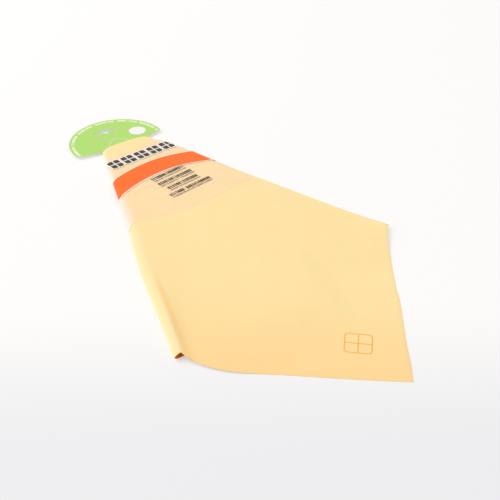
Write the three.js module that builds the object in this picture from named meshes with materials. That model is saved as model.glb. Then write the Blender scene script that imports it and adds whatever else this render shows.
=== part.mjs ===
// A folded chamois cloth in its shop wrapper, lying flat.
// Lengths are millimetres. X runs across the cloth, Y along its axis towards the header card, Z up.
// The sizes below are measured from the line that joins the header card's two outer corners.

import * as THREE from 'three';

// Sheet goods
const cloth_thickness = 0.8;
const film_thickness = 0.15;
const card_thickness = 0.5;
const label_thickness = 0.12;
const glue_thickness = 0.05;
const sheet_gap = 0.3;
const film_gap = 0.35;

// Header card
const head_radius = 61.5;
const head_centre_y = 7.4;
const head_corner_x = 60.6;
const head_corner_round = 3.4;
const neck_drop = 7.5;
const neck_round = 5;
const tongue_half_width = 22;
const tongue_length = 104;
const tongue_tip_round = 10;
const slot_drop = 28.9;
const slot_length = 32;
const slot_arm_height = 4.3;
const slot_eye_radius = 5.2;
const slot_eye_blend = 4.5;
const slit_tip_y = 17;
const slit_base_y = 1.6;
const slit_half_width = 15.9;
const slit_gap = 0.5;

// Round label on the card
const label_radius = 11;
const label_inset = 26.5;
const label_rise = 9;

// Outline of the folded cloth, seen from above
const fold_start_y = -7.5;
const lip_height = 4;
const left_fold_top_x = -30;
const left_fold_end_x = -162.6;
const left_fold_end_y = -371;
const left_bulge = 3.8;
const right_fold_top_x = 34.4;
const right_fold_end_x = 137.2;
const right_fold_end_y = -340.5;
const right_bulge = 3;
const right_bulge_length = 150;
const point_x = -15;
const point_y = -519;
const left_edge_angle = 138.05;
const left_edge_straight = 146;
const left_edge_round = 33;
const left_edge_wave = 0.8;
const right_edge_wave = 2.2;

// Wings folded under the cloth
const left_wing_top_x = 14;
const left_wing_end_x = 8;
const right_wing_top_x = 25.9;
const right_wing_corner_x = -43;
const right_wing_corner_y = -286;
const wing_settle = 14;
const tuck_depth = 44;
const tuck_side_depth = 5;
const tuck_radius = 0.7;

// Film sleeve
const sleeve_top_left_y = -30;
const sleeve_top_right_y = -23;
const sleeve_end_y = -173;
const sleeve_end_sag = 11;
const sleeve_side_drop = 8;
const sleeve_right_ease = 1.8;
const lap_width = 12;
const sleeve_run_out = 18;
const base_settle = 40;

// Heights of the cloth's middle surface along its folds and its crown
const wrap_crown = 6.5;
const loose_crown = 3;
const left_wrap_height = 7.6;
const left_mouth_height = 6.6;
const right_wrap_height = 4.3;
const right_loose_height = 2.6;
const corner_lift = 2.4;
const corner_lift_reach = 48;
const crown_fall = 75;

// Half-widths of the two rounded folds, and how far the roll runs into the cloth
const left_nose_top = 3;
const left_nose_wrap = 12.3;
const left_nose_mouth = 7;
const right_nose_top = 2.8;
const right_nose_loose = 1.7;
const roll_top_reach = 20;
const roll_wrap_reach = 60;
const roll_mouth_reach = 20;
const roll_narrow_y = -235;
const right_reach = 40;

// Counts and shares of the grids
const row_shares = [0, 0.07, 0.15, 0.24, 0.33, 0.41, 0.47, 0.52, 0.58, 0.65, 0.73, 0.81, 0.88, 0.94, 1];
const point_share = 0.474;
const round_share = 0.14;
const column_shares = [
  0, 0.018, 0.036, 0.058, 0.09, round_share, 0.2, 0.28, 0.37, point_share, 0.56, 0.65, 0.74, 0.82, 0.91, 1,
];
const fold_steps = 5;
const tuck_steps = 3;
const left_wing_shares = [0.36, 0.7, 1];
const right_wing_shares = [0.2, 0.45, 0.72, 1];
const tuck_shares = [0.5, 1];
const sleeve_rows = 7;
const sleeve_column_shares = [0, 0.08, 0.2, 0.35, 0.5, 0.65, 0.8, 0.92, 1];
const outline_steps = 16;
const slot_arc_steps = 4;
const label_sides = 40;

// Heights in the stack of layers, from the floor up
const floor_height = cloth_thickness / 2;
const wrapped_base = 2 * film_thickness + film_gap + floor_height;
const layer_step = cloth_thickness + sheet_gap;
const card_bottom = wrapped_base + layer_step + floor_height + sheet_gap;
const card_top = card_bottom + card_thickness;
const tuck_height = card_top + sheet_gap + floor_height;
const top_crown = tuck_height + 2 * tuck_radius;

const clamp = (s) => Math.min(1, Math.max(0, s));
const smooth = (s) => clamp(s) ** 2 * (3 - 2 * clamp(s));
const mix = (a, b, s) => a + (b - a) * s;
const ramp = (value, from, to) => smooth((value - from) / (to - from));
const fade = (s) => (1 + Math.cos(Math.PI * clamp(s))) / 2;

// Falls from 1 to 0 and is steepest at its start, so the roll that it shapes has a ridge
const crest = (s) => (1 - clamp(s)) ** 2;

// Rises from 0 to 1 at a third of the way and falls back to 0
const swelling = (s) => (27 / 4) * clamp(s) * (1 - clamp(s)) ** 2;

// One wave whose second half is the smaller one
const dyingWave = (s) => Math.sin(2 * Math.PI * clamp(s)) * (1 - clamp(s));

// Position down the wrapped part, 0 at the cloth's top edge and 1 at the sleeve's lower edge
const wrapShare = (y) => ramp(y, fold_start_y, sleeve_end_y);

// Position down the left roll, 0 where it leaves the sleeve and 1 at its mouth
const rollShare = (y) => clamp((sleeve_end_y - y) / (sleeve_end_y - left_fold_end_y));

// Outermost x of the two folds at a given y. The roll springs outwards where it leaves the sleeve.
function leftFoldX(y) {
  const s = (fold_start_y - y) / (fold_start_y - left_fold_end_y);
  return mix(left_fold_top_x, left_fold_end_x, s) - left_bulge * swelling(rollShare(y));
}

// The right fold swells below the neck, as it isn't pressed flat there
const rightSwelling = (y) => swelling((fold_start_y - y) / right_bulge_length);

function rightFoldX(y) {
  const s = (fold_start_y - y) / (fold_start_y - right_fold_end_y);
  return mix(right_fold_top_x, right_fold_end_x, s) + right_bulge * rightSwelling(y);
}

// Half-width of each rounded fold, in the plane across the cloth
function leftNose(y) {
  const wrapped = mix(left_nose_top, left_nose_wrap, wrapShare(y));
  return mix(wrapped, left_nose_mouth, rollShare(y));
}

function rightNose(y) {
  return mix(right_nose_top, right_nose_loose, ramp(y, sleeve_end_y, right_fold_end_y));
}

// The lowest layer lies on the film inside the sleeve and on the floor beyond it
function baseHeight(y) {
  const run_out_y = sleeve_end_y - sleeve_run_out;
  return mix(wrapped_base, floor_height, ramp(y, run_out_y, run_out_y - base_settle));
}

function cornerLift(x, y) {
  const distance = Math.hypot(x - right_fold_end_x, y - right_fold_end_y);
  return corner_lift * clamp(1 - distance / corner_lift_reach) ** 2;
}

function leftFoldHeight(y) {
  const wrapped = mix(top_crown, left_wrap_height, wrapShare(y));
  return mix(wrapped, left_mouth_height, ramp(y, sleeve_end_y, left_fold_end_y));
}

function rightFoldHeight(y) {
  const wrapped = mix(top_crown, right_wrap_height, wrapShare(y));
  return mix(wrapped, right_loose_height, ramp(y, sleeve_end_y, right_wing_corner_y));
}

// Middle of the cloth between its folds: puffed in the sleeve, over the wings, then on the floor
function crownHeight(x, y) {
  const edge_slope = (right_fold_end_y - right_wing_corner_y) / (right_fold_end_x - right_wing_corner_x);
  const right_edge_y = right_wing_corner_y + edge_slope * (x - right_wing_corner_x);
  const beside_left_wing = ramp(x, left_wing_end_x - wing_settle, left_wing_end_x + 2 * wing_settle);
  const wings_end_y = mix(left_fold_end_y, right_edge_y, beside_left_wing);
  const over_wings = ramp(y, wings_end_y - crown_fall, wings_end_y);
  const wrapped = mix(top_crown, wrap_crown, wrapShare(y));
  const puffed = mix(wrapped, loose_crown, ramp(y, sleeve_end_y, left_fold_end_y));
  return mix(floor_height, puffed, over_wings);
}

function rollReach(y) {
  const wrapped = mix(roll_top_reach, roll_wrap_reach, wrapShare(y));
  return mix(wrapped, roll_mouth_reach, ramp(y, roll_narrow_y, right_fold_end_y));
}

// Middle surface of the top layer
function topHeight(x, y) {
  const from_left = x - leftFoldX(y) - leftNose(y);
  const from_right = rightFoldX(y) - rightNose(y) - x;
  const crown = crownHeight(x, y);
  const on_roll = crest(from_left / rollReach(y)) * ramp(y, left_fold_end_y - crown_fall, left_fold_end_y);
  const on_right = fade(from_right / right_reach) * ramp(y, right_fold_end_y - crown_fall, right_fold_end_y);
  const left_rise = (leftFoldHeight(Math.max(y, left_fold_end_y)) - crown) * on_roll;
  const right_rise = (rightFoldHeight(Math.max(y, right_fold_end_y)) - crown) * on_right;
  return crown + left_rise + right_rise + cornerLift(x, y);
}

// A point on a rounded fold: turn 0 is its top, 1 its underside
function foldPoint(side, y, turn, offset = 0) {
  const left = side < 0;
  const nose = left ? leftNose(y) : rightNose(y);
  const centre_x = (left ? leftFoldX(y) : rightFoldX(y)) - side * nose;
  const lift = left ? 0 : cornerLift(centre_x, y);
  const top = (left ? leftFoldHeight(y) : rightFoldHeight(y)) + lift;
  const bottom = baseHeight(y) + lift;
  const angle = Math.PI * turn;
  return new THREE.Vector3(
    centre_x + side * (nose + offset) * Math.sin(angle),
    y,
    (top + bottom) / 2 + ((top - bottom) / 2 + offset) * Math.cos(angle),
  );
}

// Upper edge of the top layer: a shallow arch over the card's neck
function lipY(share) {
  return fold_start_y + lip_height * (1 - Math.abs(2 * share - 1) ** 4);
}

// Part of the way from one point to another, by a share, moved to the right of that way by a side step
function besideLine(from, to, share, side_step) {
  const way = to.clone().sub(from).normalize();
  const right = new THREE.Vector2(way.y, -way.x);
  return from.clone().lerp(to, share).addScaledVector(right, side_step);
}

// Lower edge of the top layer: rounded at the roll's mouth, then nearly straight to the point and the corner
function lowerEdge(share) {
  const mouth = foldPoint(-1, left_fold_end_y, 0);
  const corner = foldPoint(1, right_fold_end_y, 0);
  const angle = THREE.MathUtils.degToRad(left_edge_angle);
  const along = new THREE.Vector2(Math.cos(angle), Math.sin(angle));
  const point = new THREE.Vector2(point_x, point_y);
  const straight_end = along.clone().multiplyScalar(left_edge_straight).add(point);
  const round_tip = along.clone().multiplyScalar(left_edge_straight + left_edge_round).add(point);
  if (share <= round_share) {
    const start = new THREE.Vector2(mouth.x, mouth.y);
    return new THREE.QuadraticBezierCurve(start, round_tip, straight_end).getPoint(share / round_share);
  }
  if (share <= point_share) {
    const s = (share - round_share) / (point_share - round_share);
    return besideLine(straight_end, point, s, -left_edge_wave * dyingWave(s));
  }
  const s = (share - point_share) / (1 - point_share);
  return besideLine(point, new THREE.Vector2(corner.x, corner.y), s, -right_edge_wave * dyingWave(1 - s));
}

// A patch spanned by the two folds, the lip and the lower edge, less what its four corners count twice
function topPoint(across, down) {
  const seenFromAbove = (point) => new THREE.Vector2(point.x, point.y);
  const left = (s) => seenFromAbove(foldPoint(-1, mix(fold_start_y, left_fold_end_y, s), 0));
  const right = (s) => seenFromAbove(foldPoint(1, mix(fold_start_y, right_fold_end_y, s), 0));
  const lip = new THREE.Vector2(mix(left(0).x, right(0).x, across), lipY(across));
  const between_folds = left(down).lerp(right(down), across);
  const between_edges = lip.lerp(lowerEdge(across), down);
  const corners = left(0).lerp(right(0), across).lerp(lowerEdge(0).lerp(lowerEdge(1), across), down);
  const { x, y } = between_folds.add(between_edges).sub(corners);
  return new THREE.Vector3(x, y, topHeight(x, y));
}

function leftWingPoint(reach, down) {
  const y = mix(fold_start_y, left_fold_end_y, down);
  const fold = foldPoint(-1, y, 1);
  return new THREE.Vector3(mix(fold.x, mix(left_wing_top_x, left_wing_end_x, down), reach), y, baseHeight(y));
}

function rightWingPoint(reach, down) {
  const fold = foldPoint(1, mix(fold_start_y, right_fold_end_y, down), 1);
  const inner_x = mix(right_wing_top_x, right_wing_corner_x, down);
  const inner_y = mix(fold_start_y, right_wing_corner_y, down);
  const x = mix(fold.x, inner_x, reach);
  const y = mix(fold.y, inner_y, reach);
  const over_left = mix(left_wing_top_x, left_wing_end_x, down) + wing_settle;
  const climb = clamp((fold.x - x) / Math.max(fold.x - over_left, wing_settle));
  return new THREE.Vector3(x, y, baseHeight(y) + layer_step * climb + cornerLift(x, y));
}

// The cloth's top corner, turned under behind the lip
function tuckPoint(across, step) {
  const lip = topPoint(across, 0);
  if (step <= tuck_steps) {
    const angle = (Math.PI * step) / tuck_steps;
    return lip.add(new THREE.Vector3(
      0, tuck_radius * Math.sin(angle), tuck_radius * (Math.cos(angle) - 1),
    ));
  }
  const depth = mix(tuck_depth, tuck_side_depth, Math.abs(2 * across - 1));
  return lip.add(new THREE.Vector3(0, -depth * tuck_shares[step - tuck_steps - 1], -2 * tuck_radius));
}

function geometryFromFaces(points, faces) {
  const geometry = new THREE.BufferGeometry();
  geometry.setAttribute('position', new THREE.Float32BufferAttribute(points.flatMap((p) => p.toArray()), 3));
  geometry.setIndex(faces.flat());
  geometry.computeVertexNormals();
  return geometry;
}

// A closed solid from a grid of middle-surface points, with a wall all round
function thicken(points, quads, thickness) {
  const count = points.length;
  const triangles = quads.flatMap(([a, b, c, d]) => [[a, b, c], [a, c, d]]);
  const middle = geometryFromFaces(points, triangles);
  const normals = points.map((_, i) => new THREE.Vector3().fromBufferAttribute(middle.attributes.normal, i));
  const moved = (sign) => points.map((p, i) => p.clone().addScaledVector(normals[i], (sign * thickness) / 2));
  const edges = new Set(triangles.flatMap(([a, b, c]) => [`${a},${b}`, `${b},${c}`, `${c},${a}`]));
  const faces = [];
  for (const [a, b, c] of triangles) {
    faces.push([a, b, c], [a + count, c + count, b + count]);
  }
  for (const edge of edges) {
    const [a, b] = edge.split(',').map(Number);
    if (!edges.has(`${b},${a}`)) {
      faces.push([b, a, a + count], [b, a + count, b + count]);
    }
  }
  return geometryFromFaces([...moved(1), ...moved(-1)], faces);
}

function clothGeometry() {
  const fold_turns = Array.from({ length: fold_steps }, (_, i) => (i + 1) / fold_steps);
  const columns = [
    ...[...left_wing_shares].reverse().map((reach) => (down) => leftWingPoint(reach, down)),
    ...[...fold_turns].reverse().map((turn) => (down) =>
      foldPoint(-1, mix(fold_start_y, left_fold_end_y, down), turn)),
    ...column_shares.map((across) => (down) => topPoint(across, down)),
    ...fold_turns.map((turn) => (down) =>
      foldPoint(1, mix(fold_start_y, right_fold_end_y, down), turn)),
    ...right_wing_shares.map((reach) => (down) => rightWingPoint(reach, down)),
  ];
  const points = [];
  const grid = columns.map((column) => row_shares.map((down) => points.push(column(down)) - 1));
  const quads = [];
  const join = (left, right) => {
    for (let i = 0; i + 1 < left.length; i += 1) {
      quads.push([left[i], left[i + 1], right[i + 1], right[i]]);
    }
  };
  for (let c = 0; c + 1 < grid.length; c += 1) {
    join(grid[c], grid[c + 1]);
  }
  const first = left_wing_shares.length + fold_steps;
  const steps = tuck_steps + tuck_shares.length;
  const tuck = column_shares.map((across, c) => {
    const column = [grid[first + c][0]];
    for (let step = 1; step <= steps; step += 1) {
      column.unshift(points.push(tuckPoint(across, step)) - 1);
    }
    return column;
  });
  for (let c = 0; c + 1 < tuck.length; c += 1) {
    join(tuck[c], tuck[c + 1]);
  }
  return thicken(points, quads, cloth_thickness);
}

// One ring of the sleeve, a loop seen along +Y, at a distance outside the cloth's middle surface.
// Its underside steps up by the lap rise where one edge of the film lies over the other.
function sleeveRing(down, offset, lap_rise) {
  const loop = [];
  const rowY = (across) => {
    const top_y = mix(sleeve_top_left_y, sleeve_top_right_y, across);
    const sag = sleeve_end_sag * Math.sin(Math.PI * across ** (2 / 3));
    return mix(top_y, sleeve_end_y - sag, down);
  };
  const side_drop = sleeve_side_drop * down;
  for (let i = fold_steps; i > 0; i -= 1) {
    const turn = i / fold_steps;
    const round_side = 1 - Math.cos(Math.PI * Math.min(turn, 1 / 2));
    loop.push(foldPoint(-1, rowY(0) - side_drop * round_side, turn, offset));
  }
  for (const across of sleeve_column_shares) {
    const y = rowY(across);
    const left = foldPoint(-1, y, 0);
    const right = foldPoint(1, y, 0);
    const x = mix(left.x, right.x, across);
    loop.push(new THREE.Vector3(x, y, topHeight(x, y) + offset));
  }
  const stand_off = sleeve_right_ease * rightSwelling(rowY(1));
  for (let i = 1; i <= fold_steps; i += 1) {
    const turn = i / fold_steps;
    const point = foldPoint(1, rowY(1), turn, offset);
    point.x += stand_off * Math.sin(Math.PI * turn);
    loop.push(point);
  }
  const underside = loop[loop.length - 1];
  const y = (underside.y + loop[0].y) / 2;
  const lap_edge = lap_width / 2;
  const lap_foot = lap_edge + film_thickness;
  for (const [x, rise] of [[lap_foot, 0], [lap_edge, lap_rise], [-lap_edge, lap_rise], [-lap_foot, 0]]) {
    loop.push(new THREE.Vector3(x, y, underside.z + rise));
  }
  return loop;
}

function sleeveGeometry() {
  const inner_offset = floor_height + film_gap + film_thickness;
  const points = [];
  const rings = [];
  for (let row = 0; row <= sleeve_rows; row += 1) {
    const down = row / sleeve_rows;
    const inner = sleeveRing(down, inner_offset, film_thickness);
    const outer = sleeveRing(down, inner_offset + film_thickness, 0);
    rings.push([inner, outer].map((loop) => loop.map((p) => points.push(p) - 1)));
  }
  const faces = [];
  const wall = (a, b, flip) => {
    a.forEach((_, i) => {
      const n = (i + 1) % a.length;
      const quad = flip ? [b[i], b[n], a[n], a[i]] : [a[i], a[n], b[n], b[i]];
      faces.push([quad[0], quad[1], quad[2]], [quad[0], quad[2], quad[3]]);
    });
  };
  for (let row = 0; row < sleeve_rows; row += 1) {
    wall(rings[row][0], rings[row + 1][0], false);
    wall(rings[row][1], rings[row + 1][1], true);
  }
  wall(rings[0][1], rings[0][0], false);
  wall(rings[sleeve_rows][0], rings[sleeve_rows][1], false);
  return geometryFromFaces(points, faces);
}

// The hanging slot: a long slot with rounded ends and a round eye blended into its middle
function slotPath() {
  const half = slot_arm_height / 2;
  const end_x = slot_length / 2 - half;
  const blend_y = half + slot_eye_blend;
  const blend_x = Math.sqrt((slot_eye_radius + slot_eye_blend) ** 2 - blend_y ** 2);
  const slot_y = head_centre_y + head_radius - slot_drop;
  const lean = Math.atan2(blend_y, blend_x);
  const quarter = Math.PI / 2;
  const path = new THREE.Path();
  path.absarc(end_x, slot_y, half, -quarter, quarter, false);
  path.absarc(blend_x, slot_y + blend_y, slot_eye_blend, -quarter, lean - Math.PI, true);
  path.absarc(0, slot_y, slot_eye_radius, lean, Math.PI - lean, false);
  path.absarc(-blend_x, slot_y + blend_y, slot_eye_blend, -lean, -quarter, true);
  path.absarc(-end_x, slot_y, half, quarter, 3 * quarter, false);
  path.absarc(-blend_x, slot_y - blend_y, slot_eye_blend, quarter, lean, true);
  path.absarc(0, slot_y, slot_eye_radius, Math.PI + lean, 2 * Math.PI - lean, false);
  path.absarc(blend_x, slot_y - blend_y, slot_eye_blend, Math.PI - lean, quarter, true);
  path.closePath();
  return new THREE.Path(path.getPoints(slot_arc_steps));
}

// The lock tab's slit: a narrow cut up one side of the tab and down the other
function slitPath() {
  const tip = new THREE.Vector2(0, slit_tip_y);
  const base = new THREE.Vector2(slit_half_width, slit_base_y);
  const across = base.clone().sub(tip).normalize().multiplyScalar(slit_gap);
  const inner_base = new THREE.Vector2(base.x + across.y, base.y - across.x);
  const inner_tip = new THREE.Vector2(0, tip.y - slit_gap ** 2 / across.x);
  return new THREE.Path([
    tip, new THREE.Vector2(-base.x, base.y), new THREE.Vector2(-inner_base.x, inner_base.y),
    inner_tip, inner_base, base,
  ]);
}

// The header card: a round head, sloping shoulders and a tongue that goes in between the cloth's layers
function cardOutline() {
  const start_angle = Math.asin((head_corner_round - head_centre_y) / head_radius);
  const tip_y = -neck_drop - tongue_length;
  const corners = [
    [-head_corner_x, 0, head_corner_round],
    [-tongue_half_width, -neck_drop, neck_round],
    [-tongue_half_width, tip_y, tongue_tip_round],
    [tongue_half_width, tip_y, tongue_tip_round],
    [tongue_half_width, -neck_drop, neck_round],
    [head_corner_x, 0, head_corner_round],
  ];
  const outline = new THREE.Shape();
  outline.absarc(0, head_centre_y, head_radius, start_angle, Math.PI - start_angle, false);
  const start = outline.getPoint(0);
  const stations = [outline.currentPoint.clone(), ...corners.map(([x, y]) => new THREE.Vector2(x, y)), start];
  corners.forEach(([x, y, round], i) => {
    const corner = new THREE.Vector2(x, y);
    const towards = (other) => other.clone().sub(corner).normalize().multiplyScalar(round).add(corner);
    const entry = towards(stations[i]);
    const exit = towards(stations[i + 2]);
    outline.lineTo(entry.x, entry.y);
    outline.quadraticCurveTo(x, y, exit.x, exit.y);
  });
  outline.closePath();
  return outline;
}

function cardGeometry() {
  const shape = new THREE.Shape(cardOutline().getPoints(outline_steps));
  shape.holes.push(slotPath(), slitPath());
  const geometry = new THREE.ExtrudeGeometry(shape, { depth: card_thickness, bevelEnabled: false });
  return geometry.translate(0, 0, card_bottom);
}

function labelGeometry() {
  const geometry = new THREE.CylinderGeometry(label_radius, label_radius, label_thickness, label_sides);
  const centre_x = head_radius - label_inset;
  const centre_y = head_centre_y + label_rise;
  const centre_z = card_top + glue_thickness + label_thickness / 2;
  return geometry.rotateX(Math.PI / 2).translate(centre_x, centre_y, centre_z);
}

function piece(name, geometry, finish) {
  const mesh = new THREE.Mesh(geometry, new THREE.MeshStandardMaterial({ metalness: 0, ...finish }));
  mesh.name = name;
  return mesh;
}

const cloth = piece('chamois_cloth', clothGeometry(), { color: 0xffe1a4, roughness: 0.95 });
const sleeve = piece('film_sleeve', sleeveGeometry(), {
  color: 0xfdfdfb, roughness: 0.12, transparent: true, opacity: 0.3,
});
const card = piece('header_card', cardGeometry(), { color: 0xb4da6c, roughness: 0.45 });
const label = piece('round_label', labelGeometry(), { color: 0xfaf8f4, roughness: 0.6 });

// The part's own origin: the middle of its outline, on the floor
const part = new THREE.Group();
part.add(cloth, sleeve, card, label);
const extent = new THREE.Box3().setFromObject(part, true);
part.position.set(
  -(extent.min.x + extent.max.x) / 2,
  -(extent.min.y + extent.max.y) / 2,
  -extent.min.z,
);
part.updateMatrixWorld(true);

export default part;
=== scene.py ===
"""A folded chamois cloth in its shop wrapper: cloth, film sleeve, header card and round label.

Lengths in the formulas are millimetres from the line that joins the header card's two outer corners,
with x across the cloth, y along it towards the card and z up. placed() turns them into metres in the frame.
"""
import math

import bpy
import numpy as np
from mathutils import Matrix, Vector


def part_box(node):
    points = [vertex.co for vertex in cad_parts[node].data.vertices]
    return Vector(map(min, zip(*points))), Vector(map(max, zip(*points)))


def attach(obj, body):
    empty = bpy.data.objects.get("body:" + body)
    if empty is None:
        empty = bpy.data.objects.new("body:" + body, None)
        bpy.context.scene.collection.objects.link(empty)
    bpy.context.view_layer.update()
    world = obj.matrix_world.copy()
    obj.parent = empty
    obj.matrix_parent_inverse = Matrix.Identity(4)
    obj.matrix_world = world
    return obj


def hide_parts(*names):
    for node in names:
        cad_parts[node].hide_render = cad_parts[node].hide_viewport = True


bl_info = {
    "name": "Folded chamois cloth",
    "version": (1, 0, 0),
    "blender": (4, 5, 0),
    "location": "View3D > Sidebar > Chamois",
    "description": "A folded chamois cloth in a printed film sleeve, with its header card",
    "category": "Add Mesh",
}

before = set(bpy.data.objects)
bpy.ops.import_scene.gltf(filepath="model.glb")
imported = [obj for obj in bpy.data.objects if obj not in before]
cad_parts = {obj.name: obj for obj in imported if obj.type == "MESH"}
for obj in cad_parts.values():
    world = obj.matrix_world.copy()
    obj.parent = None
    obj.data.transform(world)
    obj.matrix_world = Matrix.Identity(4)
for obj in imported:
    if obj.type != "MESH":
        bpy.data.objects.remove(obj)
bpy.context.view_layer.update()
CARD_LOW, CARD_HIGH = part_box("header_card")

MM = 0.001

# Header card, which the frame places
HEAD_TOP_Y = 68.9
HEAD_CENTRE_Y = 7.4
SLIT_TIP_Y, SLIT_BASE_Y, SLIT_HALF_WIDTH = 17.0, 1.6, 15.9
ORIGIN = Vector(((CARD_LOW.x + CARD_HIGH.x) / 2, CARD_HIGH.y - HEAD_TOP_Y * MM, 0))

# Outline of the folded cloth, seen from above
FOLD_START_Y = -7.5
LIP_HEIGHT, LIP_SQUARENESS = 4.0, 4
LEFT_TOP_X, LEFT_END_X, LEFT_END_Y, LEFT_BULGE = -30.0, -162.6, -371.0, 3.8
RIGHT_TOP_X, RIGHT_END_X, RIGHT_END_Y = 34.4, 137.2, -340.5
RIGHT_BULGE, RIGHT_BULGE_LENGTH = 3.0, 150.0
POINT_X, POINT_Y = -15.0, -519.0
LEFT_EDGE_ANGLE, LEFT_EDGE_STRAIGHT, LEFT_EDGE_ROUND = math.radians(138.05), 146.0, 33.0

# Wings folded under the cloth, and the top corner that is turned in
LEFT_WING_TOP_X, LEFT_WING_END_X = 14.0, 8.0
RIGHT_WING_TOP_X, RIGHT_WING_CORNER_X, RIGHT_WING_CORNER_Y = 25.9, -43.0, -286.0
WING_SETTLE = 14.0
TUCK_DEPTH, TUCK_SIDE_DEPTH, TUCK_RADIUS = 44.0, 5.0, 0.7

# Film sleeve
SLEEVE_TOP_LEFT_Y, SLEEVE_TOP_RIGHT_Y = -30.0, -23.0
SLEEVE_END_Y, SLEEVE_END_SAG, SLEEVE_SIDE_DROP, SLEEVE_RIGHT_EASE = -173.0, 11.0, 8.0, 1.8
SLEEVE_SAG_SKEW = 2 / 3
LAP_WIDTH, LAP_SLOPE, LAP_GAP = 12.0, 1.0, 0.015
SLEEVE_RUN_OUT, BASE_SETTLE = 18.0, 40.0
# Painted reflection along the film's creased sides: the power that shapes it round each fold, and its share on
# the right
CREASE_SOFTNESS, RIGHT_CREASE_REFLECTION = 0.9, 0.25

# Sheet goods and the gaps between their layers
CLOTH_THICKNESS, FILM_THICKNESS, CARD_THICKNESS = 0.8, 0.15, 0.5
SHEET_GAP, FILM_GAP = 0.3, 0.35

# Heights of the cloth's middle surface along its folds and its crown
WRAP_CROWN, LOOSE_CROWN = 6.5, 3.0
LEFT_WRAP_HEIGHT, LEFT_MOUTH_HEIGHT = 7.6, 6.6
RIGHT_WRAP_HEIGHT, RIGHT_LOOSE_HEIGHT = 4.3, 2.6
CORNER_LIFT, CORNER_LIFT_REACH = 2.4, 48.0
CROWN_FALL = 75.0

# Half-widths of the two rounded folds, and how far the roll runs into the cloth
LEFT_NOSE_TOP, LEFT_NOSE_WRAP, LEFT_NOSE_MOUTH = 3.0, 12.3, 7.0
RIGHT_NOSE_TOP, RIGHT_NOSE_LOOSE = 2.8, 1.7
ROLL_TOP_REACH, ROLL_WRAP_REACH, ROLL_MOUTH_REACH, ROLL_NARROW_Y = 20.0, 60.0, 16.0, -235.0
RIGHT_REACH = 40.0

# The two lower edges wave in and out, and the cutter's blade has pressed all cut edges
RIGHT_EDGE_WAVE, LEFT_EDGE_WAVE = 2.2, 0.8
EDGE_PINCH = 0.5

# Small ins and outs of the right edge: shares of its run from the point to the corner, and millimetres inwards
RIGHT_EDGE_NICKS = (0, 0.09, 0.21, 0.36, 0.47, 0.54, 0.7, 1), (0, -0.5, 0.65, 0.4, -0.3, 0.7, 0, 0)

# Soft swells of the loose cloth: height, wavelength, direction and phase of each
SWELLS = ((0.16, 96.0, 0.35, 0.4), (0.12, 61.0, 1.25, 2.1), (0.07, 37.0, 2.4, 4.0), (0.05, 23.0, 0.9, 1.2))

# Where the swells begin and end: from the left fold, from the right fold, below the sleeve, and by the crown
SWELL_LEFT, SWELL_RIGHT, SWELL_BELOW, SWELL_CROWN = (12.0, 40.0), (6.0, 30.0), (-10.0, 60.0), (0.5, 2.5)

# The inside of the left roll: where its colour starts and is full, inwards from the fold, and how far it
# goes on past the roll's mouth
HOLLOW_START, HOLLOW_END, HOLLOW_DEPTH = 34.0, 20.0, 12.0

# The painted highlight on the roll's back: where it dies out inwards from the fold, and where it is full
HIGHLIGHT_START, HIGHLIGHT_END = 11.5, 7.0

# Painted shade in the crease at the foot of the roll: its distance from the fold, its half-width, and where it
# deepens
FOOT_PLACE, FOOT_HALF_WIDTH, FOOT_RUN = 13.0, 4.5, (-250.0, -295.0)

# Shares of the lower edge, from the roll's mouth up to the point and to the end of its rounded part
POINT_SHARE, ROUND_SHARE = 0.474, 0.14

# Columns and rows of the grids, and the angle past which an edge stays sharp
CLOTH_ROWS, FOLD_STEPS, WING_COLUMNS, TUCK_ROWS, TUCK_STEPS = 150, 20, 44, 16, 8
ROUND_COLUMNS, LEFT_COLUMNS, RIGHT_COLUMNS = 22, 36, 52
FILM_ROWS, FILM_COLUMNS = 70, 110
SHARP_ANGLE = math.radians(40.0)

# Heights in the stack of layers, from the floor up
FLOOR_HEIGHT = CLOTH_THICKNESS / 2
WRAPPED_BASE = 2 * FILM_THICKNESS + FILM_GAP + FLOOR_HEIGHT
LAYER_STEP = CLOTH_THICKNESS + SHEET_GAP
CARD_TOP = WRAPPED_BASE + LAYER_STEP + CLOTH_THICKNESS + SHEET_GAP + CARD_THICKNESS - FLOOR_HEIGHT
TOP_CROWN = CARD_TOP + SHEET_GAP + FLOOR_HEIGHT + 2 * TUCK_RADIUS

# Prints: all places are millimetres from the card's corner line, all turns are radians
PRINT_TURN = math.radians(2.5)
PANE_ROW_X, PANE_ROW_Y, PANE_PITCH, PANE_COUNT = 3.5, -46.0, 19.0, 5
PANE_HALF_WIDTH, PANE_HALF_HEIGHT, PANE_CORNER, PANE_OUTLINE, PANE_BAR = 7.8, 8.8, 2.4, 1.5, 0.75
BAND_X, BAND_Y, BAND_HALF_HEIGHT, BAND_PIPING, BAND_ARCH = 0.0, -82.0, 15.0, 1.3, 0.0035
CAPTION_X, CAPTION_Y, CAPTION_TURN = 6.5, -127.0, math.radians(6.0)
CAPTION_PITCH, CAPTION_ROWS, CAPTION_HALF_WIDTH, CAPTION_NARROW = 14.0, 4, 31.0, 17.0
BOLD_MIDDLE, BOLD_HALF_HEIGHT, BOLD_PITCH = 9.2, 3.1, 3.1
THIN_MIDDLE, THIN_HALF_HEIGHT, THIN_PITCH = 3.4, 0.9, 1.6
LETTER_SHARE, LETTER_SPREAD, LOW_LETTER_SHARE = 0.85, 0.4, 0.75
STAMP_X, STAMP_Y, STAMP_TURN = -18.8, -455.0, math.radians(44.0)
STAMP_HALF, STAMP_CORNER, STAMP_LINE = 12.5, 3.6, 0.55
RIM_RADIUS, RIM_HALF_HEIGHT, RIM_PITCH, RIM_WORD, RIM_WORD_GAP, RIM_END_Y = 56.6, 2.2, 2.3, 31.0, 3.4, 1.5

# The hairline of raw board along the tab's cut sides, and the film's upper edge, which catches the light
RAW_HALF_WIDTH, BRIGHT_EDGE = 0.8, 1.0
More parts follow.
